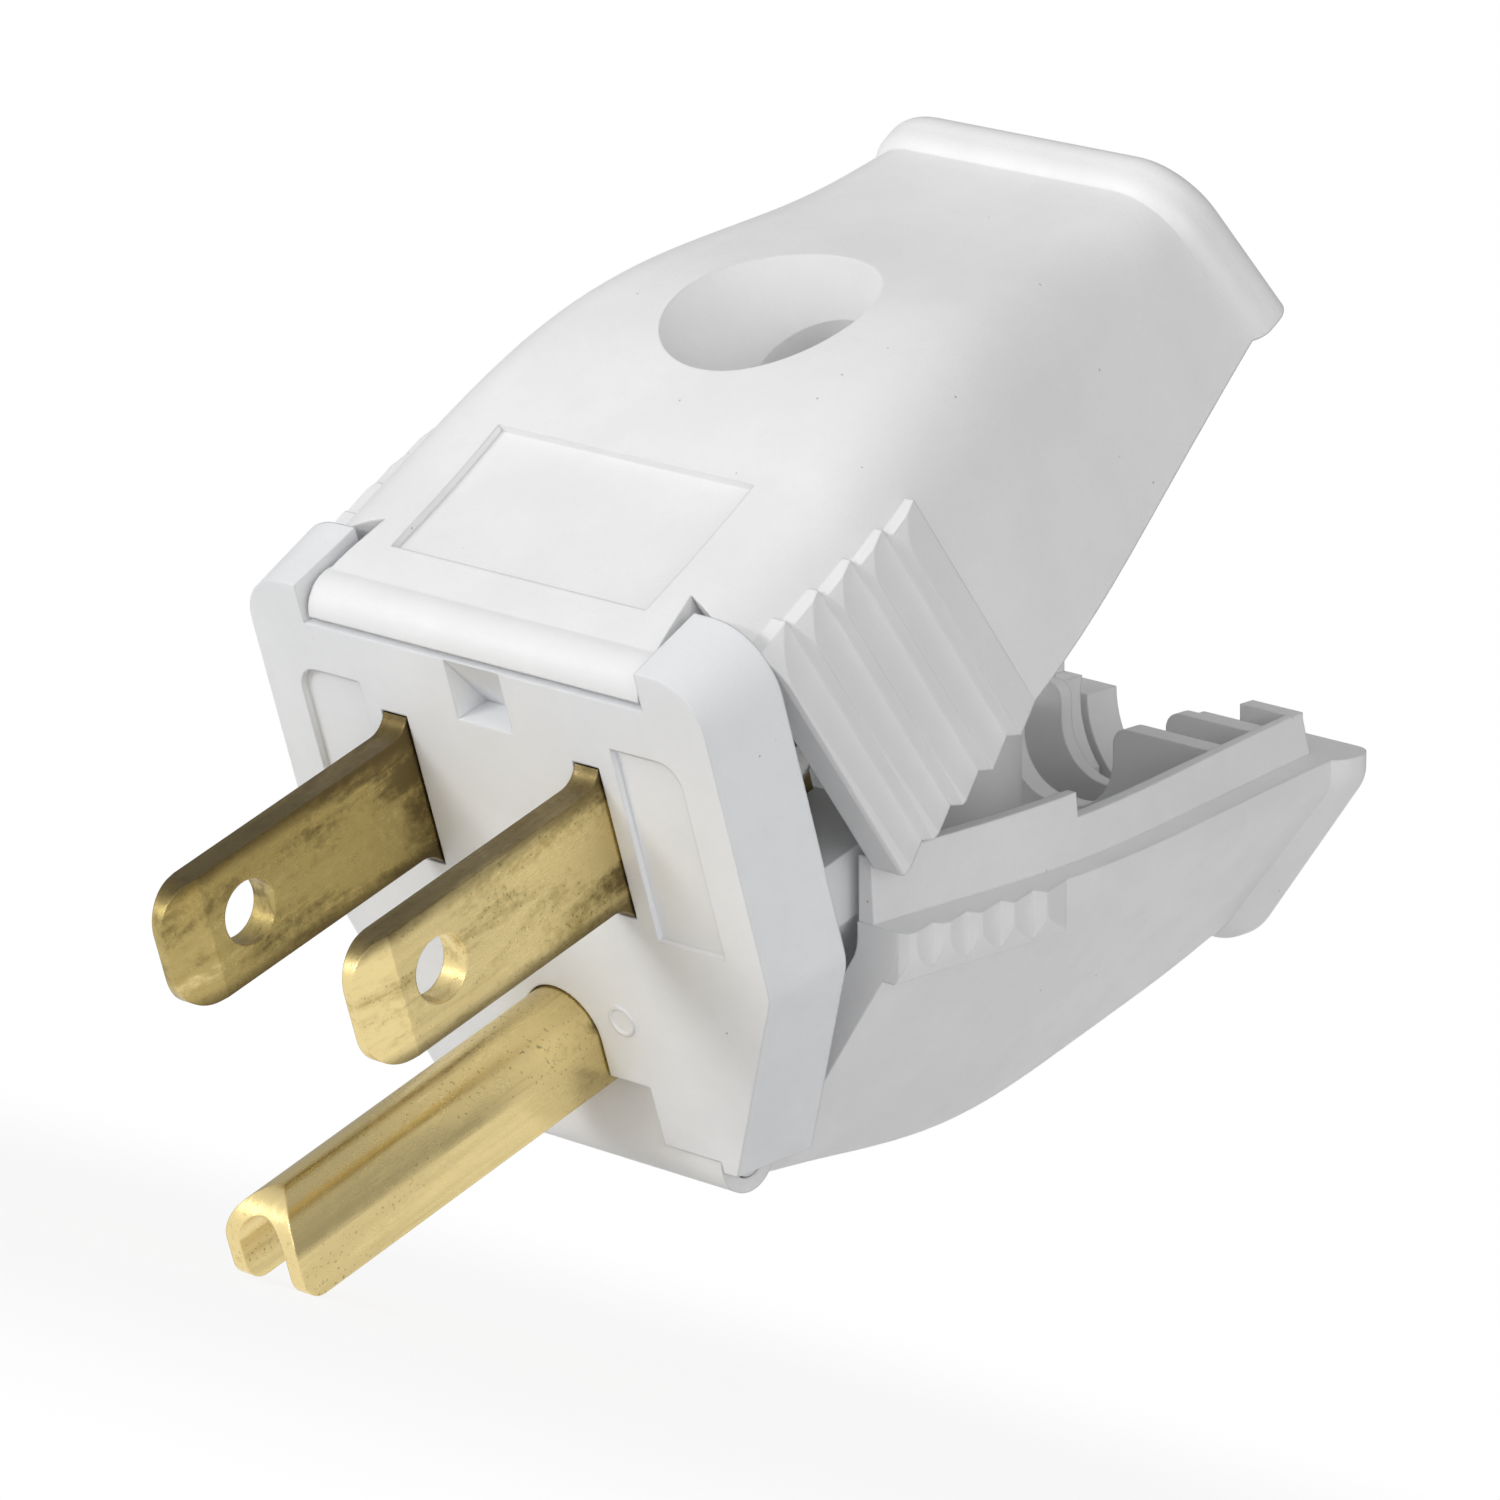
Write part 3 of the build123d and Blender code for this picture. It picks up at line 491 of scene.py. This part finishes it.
class PLUG_OT_stage(bpy.types.Operator):
    """Sets up the floor, the lamps and the camera"""

    bl_idname = "plug.stage"
    bl_label = "Stage"

    def execute(self, context):
        stage = context.scene.plug_stage
        up, height = floor_under(("ground_pin", "lower_cover"))
        bpy.ops.object.select_all(action="DESELECT")
        bpy.ops.mesh.primitive_plane_add(size=stage.floor_side)
        floor = context.object
        floor.name = "floor"
        turn = Vector((0, 0, 1)).rotation_difference(up).to_matrix().to_4x4()
        floor.data.transform(Matrix.Translation(up * (height - FLOOR_CLEARANCE)) @ turn)
        self.paint_floor(floor, stage)
        self.light_world(context, stage)
        area_lamp("key_lamp", stage.key_place, stage.aim, stage.key_size, stage.key)
        area_lamp("fill_lamp", stage.fill_place, stage.aim, stage.fill_size, stage.fill)
        camera = bpy.data.objects.new("camera", bpy.data.cameras.new("camera"))
        camera.location = stage.camera_place
        camera.rotation_euler = stage.camera_turn
        camera.data.lens = stage.lens
        camera.data.sensor_width = SENSOR_WIDTH
        camera.data.clip_start, camera.data.clip_end = 0.01, 20
        context.scene.collection.objects.link(camera)
        context.scene.camera = camera
        context.scene.view_settings.view_transform = "Standard"
        return {"FINISHED"}

    def seen_directly(self, tree, rays):
        """One for rays of the two named kinds, else nothing."""
        path = tree.nodes.new("ShaderNodeLightPath")
        seen = tree.nodes.new("ShaderNodeMath")
        seen.operation = "MAXIMUM"
        for ray, socket in zip(rays, seen.inputs):
            tree.links.new(path.outputs[ray], socket)
        return seen.outputs[0]

    def mixed(self, tree, share, first, second):
        """Mix of two shaders by a share."""
        mix = tree.nodes.new("ShaderNodeMixShader")
        for source, socket in zip((share, first, second), mix.inputs):
            tree.links.new(source, socket)
        return mix.outputs[0]

    def paint_floor(self, floor, stage):
        """White to the camera from above with a trace of shadow near the plug, clear from below."""
        material = bpy.data.materials.new("pale_floor")
        material.use_nodes = True
        tree = material.node_tree
        shader = tree.nodes["Principled BSDF"]
        shader.inputs["Base Color"].default_value = (0.9, 0.9, 0.9, 1)
        shader.inputs["Roughness"].default_value = 0.9
        white = tree.nodes.new("ShaderNodeEmission")
        white.inputs["Strength"].default_value = 1
        place = tree.nodes.new("ShaderNodeTexCoord")
        reach = tree.nodes.new("ShaderNodeVectorMath")
        reach.operation = "LENGTH"
        tree.links.new(place.outputs["Object"], reach.inputs[0])
        whiteness = tree.nodes.new("ShaderNodeMapRange")
        whiteness.interpolation_type = "SMOOTHSTEP"
        set_range(whiteness, stage.shadow_full, stage.shadow_end, stage.white_near, 1.0)
        tree.links.new(reach.outputs["Value"], whiteness.inputs["Value"])
        amount = tree.nodes.new("ShaderNodeMath")
        amount.operation = "MULTIPLY"
        tree.links.new(self.seen_directly(tree, ("Is Camera Ray", "Is Glossy Ray")), amount.inputs[0])
        tree.links.new(whiteness.outputs["Result"], amount.inputs[1])
        lit = self.mixed(tree, amount.outputs[0], shader.outputs[0], white.outputs[0])
        geometry = tree.nodes.new("ShaderNodeNewGeometry")
        clear = tree.nodes.new("ShaderNodeBsdfTransparent")
        sided = self.mixed(tree, geometry.outputs["Backfacing"], lit, clear.outputs[0])
        output = next(n for n in tree.nodes if n.type == "OUTPUT_MATERIAL")
        tree.links.new(sided, output.inputs["Surface"])
        floor.data.materials.append(material)

    def light_world(self, context, stage):
        """White behind the object, and a soft light that is strongest from the front."""
        world = context.scene.world
        if world is None:
            world = bpy.data.worlds.new("studio")
            context.scene.world = world
        world.use_nodes = True
        tree = world.node_tree
        tree.nodes.clear()
        place = tree.nodes.new("ShaderNodeTexCoord")
        side = tree.nodes.new("ShaderNodeVectorMath")
        side.operation = "DOT_PRODUCT"
        side.inputs[1].default_value = stage.sky_from
        tree.links.new(place.outputs["Generated"], side.inputs[0])
        level = tree.nodes.new("ShaderNodeMapRange")
        level.interpolation_type = "SMOOTHSTEP"
        set_range(level, -0.9, 0.9, stage.shade, stage.sky)
        tree.links.new(side.outputs["Value"], level.inputs["Value"])
        soft = tree.nodes.new("ShaderNodeBackground")
        tree.links.new(level.outputs["Result"], soft.inputs["Strength"])
        behind = tree.nodes.new("ShaderNodeBackground")
        behind.inputs["Strength"].default_value = 1
        for background in (soft, behind):
            background.inputs["Color"].default_value = (1, 1, 1, 1)
        seen = self.seen_directly(tree, ("Is Camera Ray", "Is Transmission Ray"))
        output = tree.nodes.new("ShaderNodeOutputWorld")
        mix = self.mixed(tree, seen, soft.outputs[0], behind.outputs[0])
        tree.links.new(mix, output.inputs["Surface"])


OPERATORS = (PLUG_OT_face, PLUG_OT_covers, PLUG_OT_prongs, PLUG_OT_screws, PLUG_OT_stage)


class PLUG_PT_panel(bpy.types.Panel):
    """Sizes, colours and steps of the plug"""

    bl_label = "Plug"
    bl_idname = "PLUG_PT_panel"
    bl_space_type = "VIEW_3D"
    bl_region_type = "UI"
    bl_category = "Plug"

    def draw(self, context):
        for group in ("plug_shell", "plug_metal", "plug_colours", "plug_stage"):
            settings = getattr(context.scene, group)
            box = self.layout.box()
            for name in settings.__annotations__:
                box.prop(settings, name)
        for operator in OPERATORS:
            self.layout.operator(operator.bl_idname)


GROUPS = {
    "plug_shell": PlugShellSizes,
    "plug_metal": PlugMetalSizes,
    "plug_colours": PlugColours,
    "plug_stage": PlugStage,
}


def register():
    for group in GROUPS.values():
        bpy.utils.register_class(group)
    for operator in OPERATORS:
        bpy.utils.register_class(operator)
    bpy.utils.register_class(PLUG_PT_panel)
    for name, group in GROUPS.items():
        setattr(bpy.types.Scene, name, PointerProperty(type=group))


def unregister():
    for name in GROUPS:
        delattr(bpy.types.Scene, name)
    bpy.utils.unregister_class(PLUG_PT_panel)
    for operator in reversed(OPERATORS):
        bpy.utils.unregister_class(operator)
    for group in reversed(tuple(GROUPS.values())):
        bpy.utils.unregister_class(group)


def main():
    register()
    bpy.ops.plug.face()
    bpy.ops.plug.covers()
    bpy.ops.plug.prongs()
    bpy.ops.plug.screws()
    bpy.ops.plug.stage()


if __name__ == "__main__":
    main()
